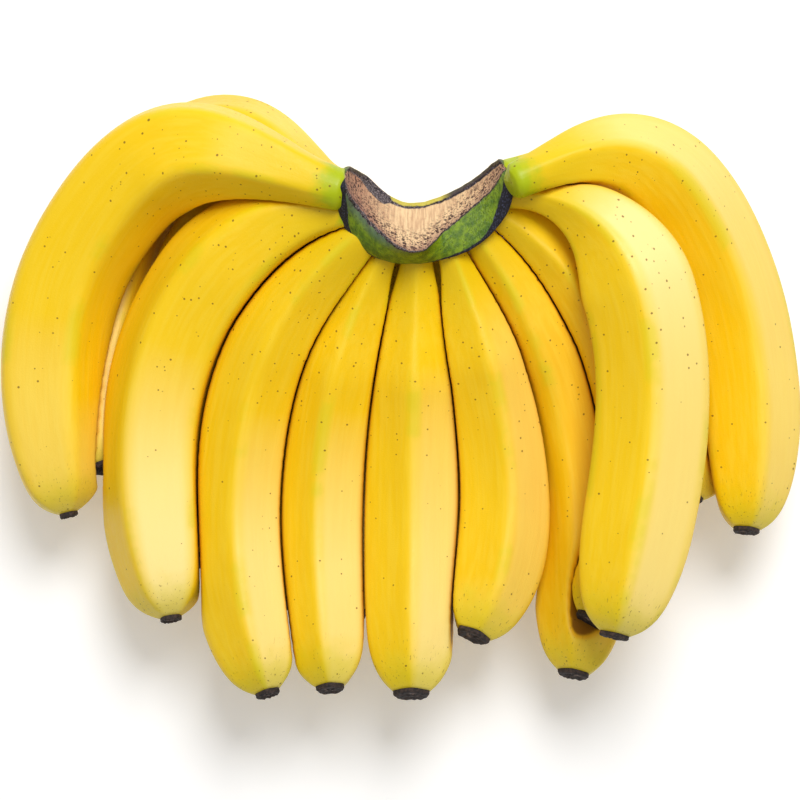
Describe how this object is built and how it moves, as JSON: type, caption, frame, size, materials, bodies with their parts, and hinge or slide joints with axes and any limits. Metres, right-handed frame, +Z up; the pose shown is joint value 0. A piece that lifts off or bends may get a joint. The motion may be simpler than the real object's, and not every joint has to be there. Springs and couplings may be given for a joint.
{
  "type": "hand of bananas",
  "caption": "Hand of ripe bananas in two rows on one curved green crown, lying on its back with the pale cut face up; for shops, kitchens, fruit bowls and picking tasks",
  "frame": {"origin": "on the surface the hand lies on, under the middle of its bounding box", "axes": "+Z up, away from the surface; +Y from the finger tips towards the crown; +X to the right, seen from above with the crown at the far side"},
  "size_m": [0.322, 0.244, 0.1007],
  "materials": {
    "peel": "satin ripe banana peel, golden with green-tinged necks and dark dry tips",
    "crown": "satin green skin with a fibrous tan cut face and dark dried edges"
  },
  "bodies": {
    "root": {"crown": "crown", "finger_front_1": "peel", "finger_front_2": "peel", "finger_front_3": "peel", "finger_front_4": "peel", "finger_front_5": "peel", "finger_front_6": "peel", "finger_front_7": "peel", "finger_front_8": "peel", "finger_front_9": "peel", "finger_front_10": "peel", "finger_back_1": "peel", "finger_back_2": "peel", "finger_back_3": "peel", "finger_back_4": "peel", "finger_back_5": "peel", "finger_back_6": "peel", "finger_back_7": "peel"}
  },
  "joints": []
}
